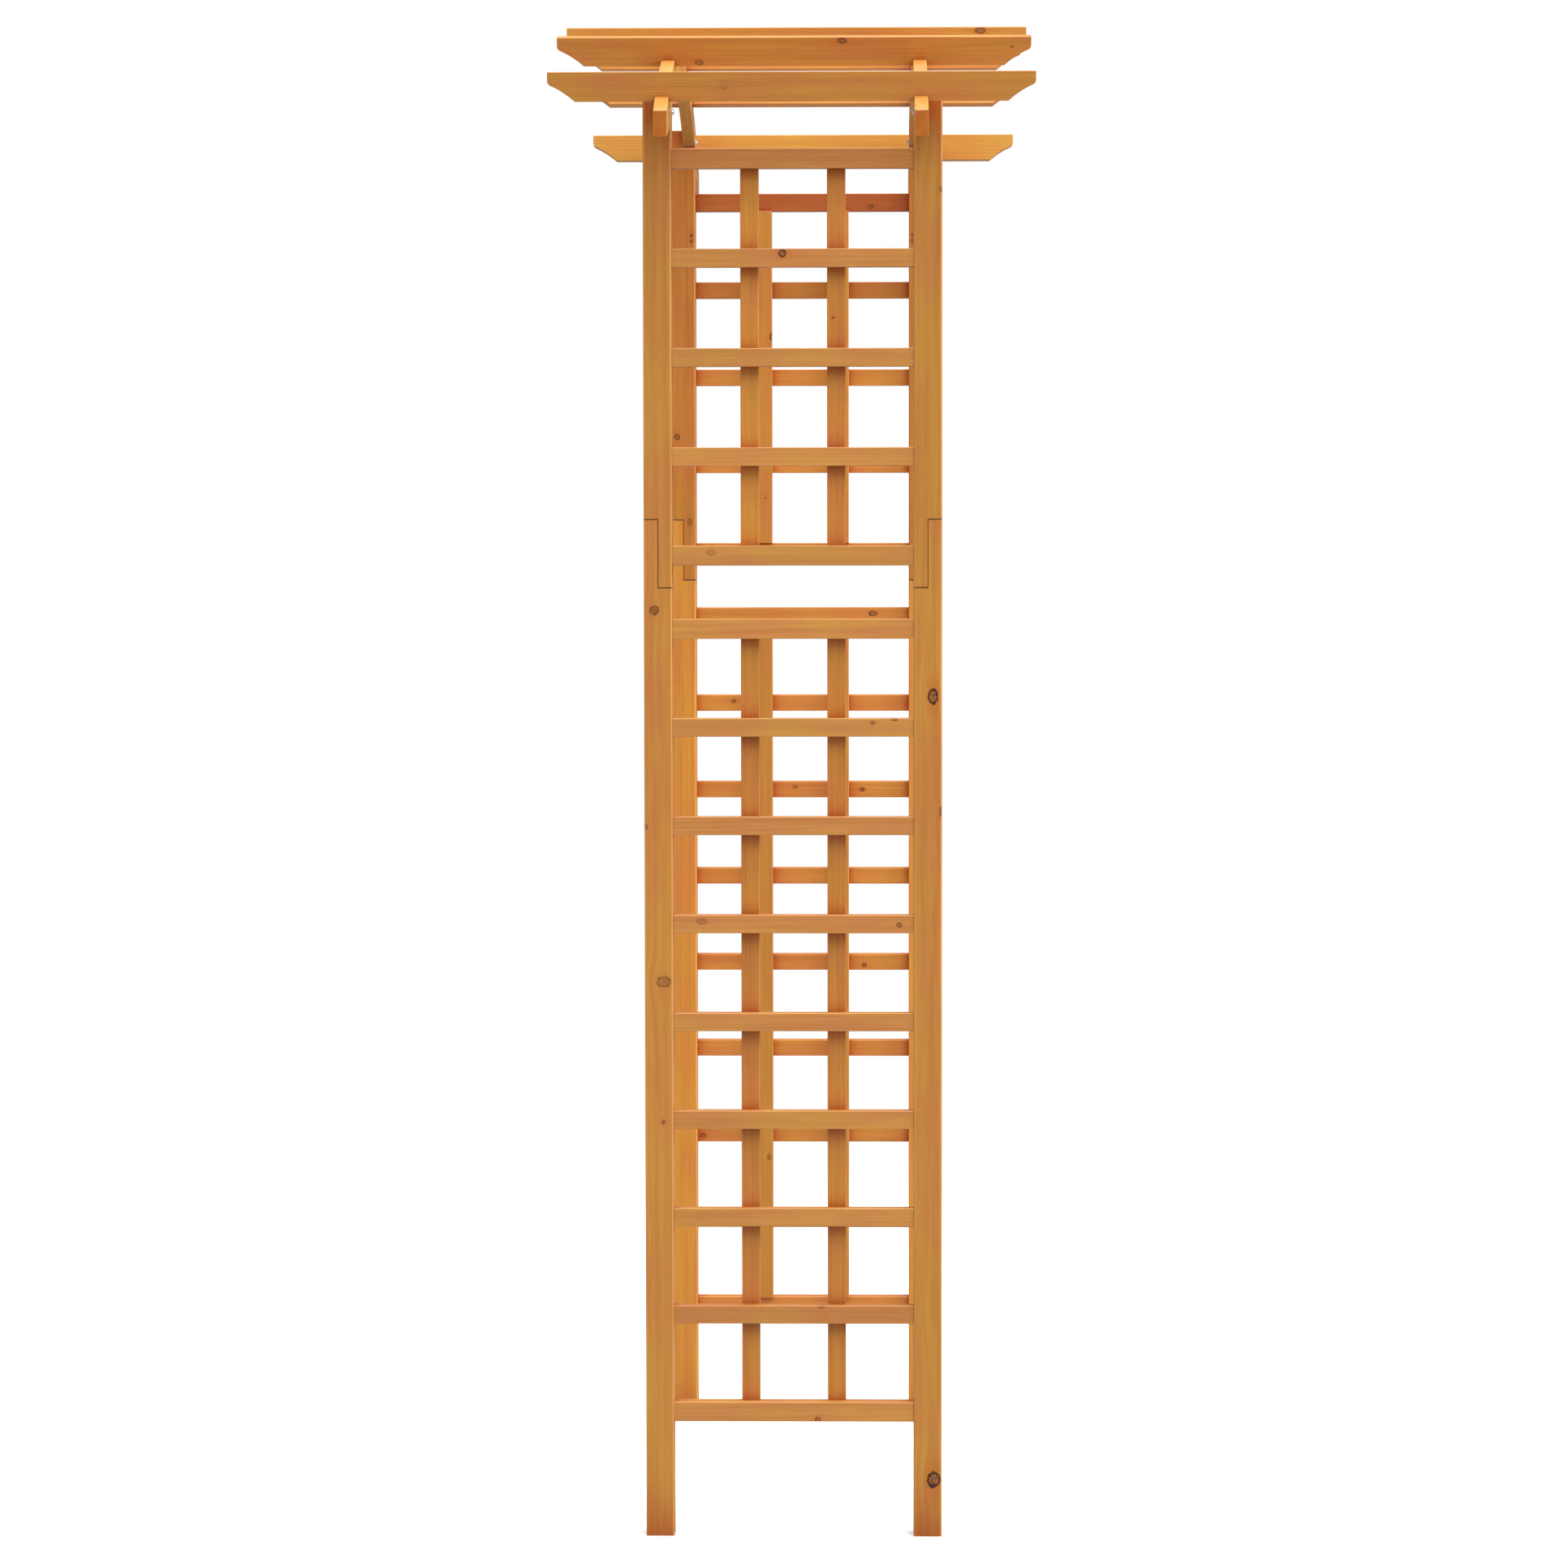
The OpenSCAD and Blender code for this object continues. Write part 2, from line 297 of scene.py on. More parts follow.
# How near something has to be for shade to be painted in, and the openness at which that painted shade is
# full and gone.
PAINTED_SHADE_REACH = 0.11
PAINTED_SHADE_EDGE = (0.3, 0.95)
PAINTED_SHADE_SAMPLES = 6
SEAM_STAIN_AND_SHADE = srgb(66, 24, 4)
KNOT_HALO = srgb(190, 98, 30)
KNOT_HEART = srgb(166, 104, 50)
KNOT_GRAIN = srgb(96, 50, 14)
KNOT_RING = srgb(60, 28, 6)

RING_WIDTH = 4.2 * MM
KNOT_DEPTH = 3.0
NO_KNOT_NEAR = 9.0
# A knot's outline wobbles, its halo reaches further along the grain, and the grain is pushed round it.
WOBBLE_SCALE, WOBBLE = 170, 0.75
KNOT_EDGE = (0.96, 1.1)
HALO_STRETCH = (0.5, 1.0, 1.0)
HALO_FALL = -0.3
GRAIN_PUSH = -0.8
# The mottling of a knot's heart, and the ragged ring of bark round it.
HEART_SCALE, BARK_SCALE, BARK_RAGGED = 520, 300, 1.4
# Noise in cycles for each metre along u, v and w.
WAVE_SCALE = (1.6, 14, 14)
DRIFT_SCALE = (9, 60, 60)
RING_FADE_SCALE = (3, 40, 40)
FIBRE_SCALE = (22, 900, 900)
STREAK_SCALE = (3.5, 110, 110)
BLOTCH_SCALE = (8, 30, 30)
# The rings run almost straight along the board, and stray from true circles by up to this much.
RING_RUN = (0.012, 1.0, 1.0)
WAVE_SIZE = 22 * MM
DRIFT_SIZE = 2.5 * MM
# Where the pith lies from the board's middle: up to this far along it, and between these across and through.
PITH_ALONG = 0.4
PITH_ACROSS = (0.01, 0.05)
PITH_THROUGH = (0.02, 0.07)
SEEDS = 50
# How much of the late wood's colour the rings, streaks and fibres each bring in.
RING_CONTRAST = 0.2
STREAK_CONTRAST = 0.26
FIBRE_CONTRAST = 0.12
HUE_SPREAD = 1.1
HALO_SHOWN = 0.5
BARK_SHOWN = 0.95
# How much the edges' rubbed stain and painted highlight show, on smooth and on streaked wood.
WORN_HIGHLIGHT_SMOOTH, WORN_HIGHLIGHT_STREAKED = 0.42, 0.2
WOOD_ROUGHNESS = 0.38
STREAK_ROUGHNESS = 0.1
GRAIN_BUMP, GRAIN_DEPTH = 0.35, 0.25 * MM
WOOD_SPECULAR = 0.35
VARNISH, VARNISH_ROUGHNESS = 0.14, 0.28


def new_group(name, inputs, outputs):
    """An empty node group with the given (name, socket type) inputs and outputs."""
    tree = bpy.data.node_groups.new(name, "ShaderNodeTree")
    for label, kind in inputs:
        tree.interface.new_socket(label, in_out="INPUT", socket_type="NodeSocket" + kind)
    for label, kind in outputs:
        tree.interface.new_socket(label, in_out="OUTPUT", socket_type="NodeSocket" + kind)
    graph = Graph(tree)
    return graph, graph.node("NodeGroupInput").outputs, graph.node("NodeGroupOutput").inputs


def knot_group():
    """One knot: bends the grain round itself, and adds to the masks that the colour is read from.

    Nearest is the distance in knot radii, Mask is how far the knot's own wood shows, and Halo is the stain
    round it.
    """
    sockets_in = [("Grain", "Vector"), ("Place", "Vector"), ("Nearest", "Float"), ("Mask", "Float"),
                  ("Halo", "Float"), ("Centre", "Vector"), ("Radii", "Vector"), ("Strength", "Float")]
    sockets_out = [("Grain", "Vector"), ("Nearest", "Float"), ("Mask", "Float"), ("Halo", "Float")]
    graph, given, result = new_group("knot", sockets_in, sockets_out)
    away = graph.vector("SUBTRACT", given["Place"], given["Centre"])
    shaped = graph.vector("DIVIDE", away, given["Radii"])
    distance = graph.vector("LENGTH", shaped)
    wobble = graph.noise(given["Place"], scale=WOBBLE_SCALE, detail=3)
    ragged = graph.math("MULTIPLY_ADD", graph.math("SUBTRACT", wobble, 0.5), WOBBLE, distance)
    graph.feed(result["Nearest"], graph.math("MINIMUM", given["Nearest"], ragged))
    mask = graph.math("MULTIPLY", graph.ramp(ragged, *KNOT_EDGE, 1.0, 0.0), given["Strength"])
    graph.feed(result["Mask"], graph.math("MAXIMUM", given["Mask"], mask))
    reach = graph.vector("LENGTH", graph.scaled(shaped, *HALO_STRETCH))
    falloff = graph.math("EXPONENT", graph.math("MULTIPLY", graph.math("POWER", reach, 2.0), HALO_FALL))
    stain = graph.math("MULTIPLY", falloff, given["Strength"])
    graph.feed(result["Halo"], graph.math("MAXIMUM", given["Halo"], stain))
    sideways = graph.split(away)[1]
    push = graph.math("MULTIPLY", graph.math("MULTIPLY", sideways, falloff), GRAIN_PUSH)
    graph.feed(result["Grain"], graph.vector("ADD", given["Grain"], graph.join(0.0, push, 0.0)))
    return graph.tree


def grain_group():
    """Growth rings, fibres and stain blotches of a softwood board, as masks from 0 to 1."""
    sockets_in = [("Grain", "Vector"), ("Pith", "Vector"), ("Seed", "Float")]
    sockets_out = [("Rings", "Float"), ("Fibres", "Float"), ("Streaks", "Float"), ("Blotches", "Float")]
    graph, given, result = new_group("softwood_grain", sockets_in, sockets_out)
    grain, seed = given["Grain"], given["Seed"]
    wave = graph.noise(graph.scaled(grain, *WAVE_SCALE), detail=2, seed=seed)
    drift = graph.noise(graph.scaled(grain, *DRIFT_SCALE), detail=2, seed=seed)
    from_pith = graph.scaled(graph.vector("SUBTRACT", grain, given["Pith"]), *RING_RUN)
    radius = graph.vector("LENGTH", from_pith)
    radius = graph.math("MULTIPLY_ADD", wave, WAVE_SIZE, radius)
    radius = graph.math("MULTIPLY_ADD", drift, DRIFT_SIZE, radius)
    year = graph.math("FRACT", graph.math("DIVIDE", radius, RING_WIDTH))
    late = graph.math("MULTIPLY", graph.ramp(year, 0.25, 0.9), graph.ramp(year, 0.93, 1.0, 1.0, 0.0))
    strength = graph.noise(graph.scaled(grain, *RING_FADE_SCALE), detail=1, seed=seed)
    graph.feed(result["Rings"], graph.math("MULTIPLY", late, graph.ramp(strength, 0.3, 0.7, 0.25, 1.0)))
    fine = graph.noise(graph.scaled(grain, *FIBRE_SCALE), detail=3, roughness=0.6, seed=seed)
    graph.feed(result["Fibres"], graph.ramp(fine, 0.3, 0.7))
    broad = graph.noise(graph.scaled(grain, *STREAK_SCALE), detail=3, roughness=0.55, seed=seed)
    graph.feed(result["Streaks"], graph.ramp(broad, 0.32, 0.68))
    stain = graph.noise(graph.scaled(grain, *BLOTCH_SCALE), detail=3, seed=seed)
    graph.feed(result["Blotches"], graph.ramp(stain, 0.3, 0.7))
    return graph.tree


KNOT = knot_group()
GRAIN = grain_group()


def wood_material(name, knots, rng, tint, pinkness):
    """Stained softwood. knots is a list of (centre, radii, strength), and pinkness goes from 0 to 1."""
    material = bpy.data.materials.new(name)
    material.use_nodes = True
    material.node_tree.nodes.clear()
    graph = Graph(material.node_tree)
    place = graph.node("ShaderNodeAttribute", attribute_name="board").outputs["Vector"]
    end_grain = graph.node("ShaderNodeAttribute", attribute_name="end_grain").outputs["Fac"]
    arris = graph.node("ShaderNodeAttribute", attribute_name="arris").outputs["Fac"]
    seam = graph.node("ShaderNodeAttribute", attribute_name="seam").outputs["Fac"]

    state = {"Grain": place, "Nearest": NO_KNOT_NEAR, "Mask": 0.0, "Halo": 0.0}
    for centre, radii, strength in knots:
        inputs = {**state, "Place": place, "Centre": centre, "Radii": radii, "Strength": strength}
        knot = graph.node("ShaderNodeGroup", node_tree=KNOT)
        for key, value in inputs.items():
            graph.feed(knot.inputs[key], value)
        state = {key: knot.outputs[key] for key in state}
    grain, nearest, mask, halo = state.values()

    figure = graph.node("ShaderNodeGroup", node_tree=GRAIN)
    graph.feed(figure.inputs["Grain"], grain)
    figure.inputs["Pith"].default_value = (
        rng.uniform(-PITH_ALONG, PITH_ALONG), rng.choice((-1, 1)) * rng.uniform(*PITH_ACROSS),
        rng.uniform(*PITH_THROUGH))
    figure.inputs["Seed"].default_value = rng.uniform(0, SEEDS)
    names = ("Rings", "Fibres", "Streaks", "Blotches")
    rings, fibres, streaks, blotches = (figure.outputs[key] for key in names)

    def tinted(colour):
        return tuple(channel * factor for channel, factor in zip(colour, tint)) + (1.0,)

    hue = graph.math("MULTIPLY_ADD", blotches, HUE_SPREAD, pinkness - HUE_SPREAD / 2, clamp=True)
    colour = graph.mix(hue, tinted(WOOD_YELLOW), tinted(WOOD_PINK))
    dark = graph.math("MULTIPLY", rings, RING_CONTRAST)
    dark = graph.math("MULTIPLY_ADD", streaks, STREAK_CONTRAST, dark)
    dark = graph.math("MULTIPLY_ADD", fibres, FIBRE_CONTRAST, dark, clamp=True)
    colour = graph.mix(dark, colour, tinted(WOOD_LATE))
    colour = graph.mix(end_grain, colour, graph.mix(1.0, colour, WOOD_END, "MULTIPLY"))
    if knots:
        ringed = graph.math("MULTIPLY", graph.ramp(halo, 0.2, 1.0), HALO_SHOWN)
        colour = graph.mix(ringed, colour, tinted(KNOT_HALO))
        pattern = graph.noise(place, scale=HEART_SCALE, detail=3, roughness=0.65)
        inside = graph.mix(graph.ramp(pattern, 0.36, 0.6), KNOT_GRAIN, KNOT_HEART)
        crumbling = graph.noise(place, scale=BARK_SCALE, detail=2)
        depth = graph.math("MULTIPLY_ADD", graph.math("SUBTRACT", crumbling, 0.5), BARK_RAGGED, nearest)
        bark = graph.math("MULTIPLY", graph.ramp(depth, 0.5, 0.85), BARK_SHOWN)
        inside = graph.mix(bark, inside, KNOT_RING)
        colour = graph.mix(mask, colour, inside)
    # Painted shade: ambient occlusion darkens and reddens the colour in corners, under rails and between
    # boards.
    open_sky = graph.node("ShaderNodeAmbientOcclusion", {"Distance": PAINTED_SHADE_REACH}, samples=PAINTED_SHADE_SAMPLES)
    painted_shade = graph.ramp(open_sky.outputs["AO"], *PAINTED_SHADE_EDGE, 1.0, 0.0)
    colour = graph.mix(painted_shade, colour, graph.mix(1.0, colour, WOOD_PAINTED_SHADE, "MULTIPLY"))
    # Lighter eased edges: partly stain rubbed off, partly a painted highlight on the rounded arrises.
    worn_highlight = graph.math("MULTIPLY", arris, graph.ramp(streaks, 0.0, 1.0, WORN_HIGHLIGHT_SMOOTH, WORN_HIGHLIGHT_STREAKED))
    colour = graph.mix(worn_highlight, colour, tinted(WOOD_WORN_HIGHLIGHT))
    # Lap seams: dark joint lines with painted shade of the seam's groove.
    colour = graph.mix(seam, colour, SEAM_STAIN_AND_SHADE)

    height = graph.math("MULTIPLY_ADD", rings, 0.5, graph.math("MULTIPLY", fibres, 0.5))
    bump = graph.node("ShaderNodeBump", {"Strength": GRAIN_BUMP, "Distance": GRAIN_DEPTH, "Height": height})
    roughness = graph.math("MULTIPLY_ADD", streaks, STREAK_ROUGHNESS, WOOD_ROUGHNESS)
    shader = graph.node("ShaderNodeBsdfPrincipled", {
        "Base Color": colour, "Roughness": roughness, "Normal": bump.outputs[0],
        "Specular IOR Level": WOOD_SPECULAR, "Coat Weight": VARNISH, "Coat Roughness": VARNISH_ROUGHNESS})
    graph.node("ShaderNodeOutputMaterial", {"Surface": shader.outputs[0]})
    return material


# Knots that stand out, for each board: the place along the board and across it, each from -1 to 1 between
# the board's ends or edges, the radii along and across in millimetres, and how much it shows. They open on
# the side that faces the front of the arbor. The small pairs on the back upper posts are the dots below the
# rafters.
KNOTS = {
    "front_left_lower_post": [(0.823, -0.25, 6.6, 6.8, 0.75), (0.40, -0.9, 3.5, 2.6, 0.8),
                              (0.096, 0.33, 8.0, 10.5, 0.55), (-0.18, 0.3, 3.5, 3.0, 0.7)],
    "front_right_lower_post": [(0.655, 0.36, 11.5, 7.0, 1.0), (0.43, 0.93, 7.0, 2.6, 1.0),
                               (-0.887, 0.42, 11.5, 9.5, 1.0)],
    "front_right_upper_post": [(0.56, 0.92, 3.5, 3.0, 0.8)],
    "front_upper_rail_4": [(-0.085, 0.5, 5.5, 5.5, 0.95)],
    "front_upper_rail_1": [(-0.68, 0.3, 6.5, 4.5, 0.35)],
    "front_lower_rail_6": [(0.88, -0.1, 4.0, 3.5, 0.7), (-0.76, 0.3, 8.0, 4.5, 0.4)],
    "front_lower_rail_1": [(0.2, -0.75, 4.5, 3.5, 0.7)],
    "front_lower_rail_2": [(0.23, 0.9, 5.0, 3.0, 0.6)],
    "front_lower_rail_8": [(0.66, 0.5, 4.0, 3.0, 0.6), (0.84, 0.9, 4.0, 3.0, 0.7)],
    "slat_1": [(-0.275, 0.1, 6.0, 6.5, 0.2)],
    "slat_2": [(0.204, 0.75, 7.0, 4.0, 0.85), (-0.4, -0.75, 6.0, 4.0, 0.6),
               (0.92, 0.3, 2.4, 2.0, 0.7)],
    "slat_3": [(0.8, 0.75, 8.0, 5.0, 0.7)],
    "back_left_upper_post": [(-0.36, -0.5, 5.0, 4.5, 0.7), (-0.74, 0.5, 5.0, 4.0, 0.6),
                             (0.535, 0.67, 2.6, 2.4, 0.9), (0.51, 0.67, 2.6, 2.4, 0.8)],
    "back_right_upper_post": [(0.535, -0.7, 2.6, 2.4, 0.9), (0.51, -0.7, 2.6, 2.4, 0.8)],
    "back_lower_rail_9": [(0.66, 0.3, 6.5, 4.5, 0.8)],
    "back_upper_rail_5": [(0.64, -0.5, 4.5, 3.5, 0.7)],
    "back_lower_rail_7": [(-0.07, 0.3, 4.0, 3.0, 0.6), (0.56, 0.0, 4.0, 3.5, 0.8)],
    "back_lower_rail_5": [(0.58, -0.4, 4.0, 3.5, 0.8)],
    "back_lower_rail_3": [(-0.95, -0.2, 5.0, 4.0, 0.6)],
    "back_lower_rail_8": [(-0.65, 0.2, 4.0, 3.0, 0.7)],
    "back_left_lower_upright": [(-0.58, 0.5, 4.5, 3.0, 0.6)],
    "back_left_upper_upright": [(0.245, 1.0, 6.0, 4.0, 0.85)],
}
WILD_KNOT_SPACING = 0.8
WILD_KNOT_ALONG, WILD_KNOT_ACROSS = 0.45, 0.4
WILD_KNOT_RADII = (2.5 * MM, 6.0 * MM)
WILD_KNOT_STRETCH = (0.8, 1.5)
WILD_KNOT_STRENGTH = (0.4, 1.0)


def knots_of(node, length, width, thickness, rng):
    """The board's own knots, and a few more on the sides that the named ones leave out."""
    knots = []
    front_side = 1 if "rail" in node or "slat" in node else -1
    for along, across, radius_u, radius_v, strength in KNOTS.get(node, ()):
        spot = (along * length / 2, across * width / 2, front_side * thickness / 2)
        knots.append((spot, (radius_u * MM, radius_v * MM, radius_v * KNOT_DEPTH * MM), strength))
    for _ in range(int(length / WILD_KNOT_SPACING + rng.random())):
        along = rng.uniform(-WILD_KNOT_ALONG, WILD_KNOT_ALONG)
        across = rng.uniform(-WILD_KNOT_ACROSS, WILD_KNOT_ACROSS)
        spot = (along * length, across * width, -front_side * thickness / 2)
        radius = rng.uniform(*WILD_KNOT_RADII)
        radii = (radius * rng.uniform(*WILD_KNOT_STRETCH), radius, radius * KNOT_DEPTH)
        knots.append((spot, radii, rng.uniform(*WILD_KNOT_STRENGTH)))
    return knots


# How each kind of board is coloured, in linear light. The back panel's rails are lighter and more orange. Its
# upper posts and two highest rails are darkened by painted shade of the roof, and its lower posts are
# lightened by painted light.
TINT_POST = (0.95, 0.92, 0.84)
TINT_BACK_POST_PAINTED_SHADE = (0.96, 0.79, 0.62)
TINT_BACK_FOOT_PAINTED_LIGHT = (1.17, 1.05, 0.78)
TINT_RAIL = (1.0, 1.03, 1.14)
TINT_BACK_RAIL = (1.24, 1.14, 1.0)
PAINTED_ROOF_SHADE = {5: (0.87, 0.56, 0.53), 4: (0.97, 0.8, 0.66)}
TINT_UPRIGHT = (1.03, 0.95, 0.78)
TINT_RAFTER = (1.0, 1.12, 1.12)
TINT_SLAT = (1.2, 1.1, 1.0)
# Slats 1 and 2 are darkened by painted shade, and slat 6 is made lighter and yellower by painted light.
PAINTED_SLAT_LIGHT_AND_SHADE = {1: (0.97, 0.87, 0.8), 2: (1.06, 0.93, 0.82), 6: (1.15, 1.3, 0.95)}
TINT_SPREAD = 0.05
PINKNESS = {"lower_post": 0.3, "upper_post": 0.35, "rail": 0.6, "upright": 0.45, "rafter": 0.3, "slat": 0.4}
PINKNESS_SPREAD = 0.12


def add_board(node, outline, thickness, matrix, arris, tint, pinkness, tweak=None):
    """Cuts a board, gives it wood of its own and puts it in place of its CAD node."""
    rng = random.Random("arbor " + node)
    mesh = cut_board(node + "_board", outline, thickness, arris, tweak)
    reach_u = [point[0] for point in outline]
    reach_v = [point[1] for point in outline]
    length, width = max(reach_u) - min(reach_u), max(reach_v) - min(reach_v)
    knots = knots_of(node, length, width, thickness, rng)
    depth_of_stain = rng.uniform(1 - TINT_SPREAD, 1 + TINT_SPREAD)
    pinkness += rng.uniform(-PINKNESS_SPREAD, PINKNESS_SPREAD)
    tint = [channel * depth_of_stain for channel in tint]
    material = wood_material("stained_" + node, knots, rng, tint, pinkness)
    place_board(node + "_board", mesh, matrix, node, material)


def plain_outline(length, width):
    """A straight board with sawn ends."""
    half_l, half_w = length / 2, width / 2
    return [(-half_l, -half_w, "long"), (half_l, -half_w, "sawn"),
            (half_l, half_w, "long"), (-half_l, half_w, "sawn")]


# ---------------------------------------------------------------- posts
def foot_line(y):
    """Height of a rafter foot's underside at that distance from the middle of the arch."""
    return FOOT_Z - (FOOT_Z - TAIL_LOW_Z) * (abs(y) - Y_IN) / (TAIL_Y - Y_IN)


def post_outline(points, centre_z, sign_x):
    """points are (height, distance from the middle plane, kind)."""
    return [(z - centre_z, sign_x * (x - POST_MID), kind) for z, x, kind in points]


def lower_post(panel, side):
    """The long bottom piece: its outer half stands up into the half-lap."""
    sign_x, sign_y = SIGN[side], SIGN[panel]
    top = LAP_HIGH - SEEN_LAP_GAP
    points = [
        (0.0, POST_IN, "long"), (LAP_LOW, POST_IN, "joint"), (LAP_LOW, POST_MID, "cheek"),
        (top, POST_MID, "joint"), (top, POST_OUT, "long"), (0.0, POST_OUT, "sawn")]
    centre = Vector((sign_x * POST_MID, sign_y * (Y_IN + Y_OUT) / 2, top / 2))
    add_board(f"{panel}_{side}_lower_post", post_outline(points, centre.z, sign_x), Y_OUT - Y_IN,
              board_frame(centre, (0, 0, 1), (1, 0, 0)), POST_ARRIS,
              TINT_POST if panel == "front" else TINT_BACK_FOOT_PAINTED_LIGHT, PINKNESS["lower_post"])


def upper_post(panel, side):
    """The short top piece: its inner half hangs down into the half-lap and is housed for the rafter."""
    sign_x, sign_y = SIGN[side], SIGN[panel]
    bottom = LAP_LOW + SEEN_LAP_GAP
    housing = POST_IN + RAFTER_T
    points = [
        (bottom, POST_IN, "long"), (FOOT_Z, POST_IN, "sawn"), (FOOT_Z, housing, "seam"),
        (POST_TOP, housing, "sawn"), (POST_TOP, POST_OUT, "long"), (LAP_HIGH, POST_OUT, "joint"),
        (LAP_HIGH, POST_MID, "cheek"), (bottom, POST_MID, "joint")]
    centre = Vector((sign_x * POST_MID, sign_y * (Y_IN + Y_OUT) / 2, (bottom + POST_TOP) / 2))

    def slope_housing(vert):
        if abs(vert.co.x + centre.z - FOOT_Z) < SAWN_ARRIS:
            vert.co.x = foot_line(centre.y + vert.co.z) - centre.z

    add_board(f"{panel}_{side}_upper_post", post_outline(points, centre.z, sign_x), Y_OUT - Y_IN,
              board_frame(centre, (0, 0, 1), (1, 0, 0)), POST_ARRIS,
              TINT_POST if panel == "front" else TINT_BACK_POST_PAINTED_SHADE, PINKNESS["upper_post"], slope_housing)


# ---------------------------------------------------------------- lattice
def rail(panel, section, number):
    """A level rail between a panel's posts, numbered from below."""
    node = f"{panel}_{section}_rail_{number}"
    low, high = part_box(node)
    centre = (low + high) / 2
    tint = TINT_RAIL if panel == "front" else TINT_BACK_RAIL
    # The back panel's two highest rails get painted shade of the roof.
    if (panel, section) == ("back", "upper"):
        tint = PAINTED_ROOF_SHADE.get(number, tint)
    add_board(node, plain_outline(2 * POST_IN, high.z - low.z), high.y - low.y,
              board_frame(centre, (1, 0, 0), (0, 0, 1)), RAIL_ARRIS, tint, PINKNESS["rail"])


def upright(panel, side, section):
    """A strip on the inner side of one section's rails."""
    node = f"{panel}_{side}_{section}_upright"
    low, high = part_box(node)
    add_board(node, plain_outline(high.z - low.z, high.x - low.x), high.y - low.y,
              board_frame((low + high) / 2, (0, 0, 1), (1, 0, 0)), RAIL_ARRIS,
              TINT_UPRIGHT, PINKNESS["upright"])


# ---------------------------------------------------------------- roof
ARC_STEPS = 64
OGEE_STEPS = 10


def arc_height(radius, y):
    """Height above the ground of an arc about the arch's centre."""
    return ARC_Z + math.sqrt(radius**2 - y**2)


def rafter(side):
    """An arched rafter: a curved band with plumb-cut tails, and a foot in each post's housing."""
    points = [(-TAIL_Y, TAIL_LOW_Z, "long"), (-Y_IN, FOOT_Z, "sawn")]
    for i in range(ARC_STEPS + 1):
        y = -Y_IN + 2 * Y_IN * i / ARC_STEPS
        points.append((y, arc_height(INNER_R, y), "curve" if i < ARC_STEPS else "sawn"))
    points += [(Y_IN, FOOT_Z, "long"), (TAIL_Y, TAIL_LOW_Z, "sawn")]
    for i in range(ARC_STEPS + 1):
        y = TAIL_Y - 2 * TAIL_Y * i / ARC_STEPS
        points.append((y, arc_height(OUTER_R, y), "curve" if i < ARC_STEPS else "sawn"))
    centre = Vector((SIGN[side] * RAFTER_X, 0, (TAIL_LOW_Z + CROWN_Z) / 2))
    outline = [(y, z - centre.z, kind) for y, z, kind in points]
    add_board(f"{side}_rafter", outline, RAFTER_T, board_frame(centre, (0, 1, 0), (0, 0, 1)),
              ROOF_ARRIS, TINT_RAFTER, PINKNESS["rafter"])


def ogee():
    """A slat's shaped lower corner, as (distance from the end, height), from the flat end inward."""
    round_height = SLAT_H - OGEE_FLAT
    turn = math.pi / 2 - OGEE_SLOPE
    points = []
    for i in range(OGEE_STEPS + 1):
        angle = math.pi + turn * i / OGEE_STEPS
        points.append((OGEE_ROUND * (1 + math.cos(angle)), round_height + OGEE_ROUND * math.sin(angle)))
    start = Vector(points[-1])
    chord = Vector((OGEE_LENGTH, 0)) - start
    bend = math.atan2(-chord.y, chord.x) - OGEE_SLOPE
    hollow = chord.length / (2 * math.sin(bend))
    centre = start - hollow * Vector((math.sin(OGEE_SLOPE), math.cos(OGEE_SLOPE)))
    for i in range(1, OGEE_STEPS + 1):
        angle = math.pi / 2 - OGEE_SLOPE - 2 * bend * i / OGEE_STEPS
        points.append((centre.x + hollow * math.cos(angle), centre.y + hollow * math.sin(angle)))
    return points


def slat_axis(spot):
    """The way up a slat or its screws: square to the arch, but nearly plumb for the first and last slats."""
    angle = math.atan2(spot.y, spot.z - ARC_Z)
    if abs(angle) > END_SLATS_FROM:
        angle = math.copysign(END_LEAN, angle)
    return Vector((0, math.sin(angle), math.cos(angle)))


def slat(number):
    """A cross slat with ogee ends, notched over both rafters."""
    node = f"slat_{number}"
    low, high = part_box(node)
    centre = (low + high) / 2
    axis = slat_axis(centre)
    half_l, half_h = (high.x - low.x) / 2, SLAT_H / 2
    seat = SLAT_NOTCH + (END_DROP if number in (1, SLATS) else 0.0)
    foot = centre - axis * (half_h - seat)
    slope = math.atan2(foot.y, foot.z - ARC_Z) - math.atan2(axis.y, axis.z)

    def slope_notches(vert):
        if abs(vert.co.y - seat + half_h) < SAWN_ARRIS and abs(vert.co.x) < RAFTER_X + RAFTER_T:
            vert.co.y += vert.co.z * math.tan(slope)

    half = [(half_l, half_h, "sawn")] + [(half_l - x, height - half_h, "curve") for x, height in ogee()]
    half[-1] = (*half[-1][:2], "long")
    outer, inner = RAFTER_X + RAFTER_T / 2 + NOTCH_GAP, RAFTER_X - RAFTER_T / 2 - NOTCH_GAP
    half += [(outer, -half_h, "seam"), (outer, seat - half_h, "seam"),
             (inner, seat - half_h, "seam"), (inner, -half_h, "long")]
    mirrored_kinds = [kind for _, _, kind in half[-2::-1]] + ["long"]
    outline = half + [(-u, v, kind) for (u, v, _), kind in zip(reversed(half), mirrored_kinds)]
    add_board(node, outline, SLAT_T, board_frame(centre, (1, 0, 0), axis), ROOF_ARRIS,
              PAINTED_SLAT_LIGHT_AND_SHADE.get(number, TINT_SLAT), PINKNESS["slat"], slope_notches)


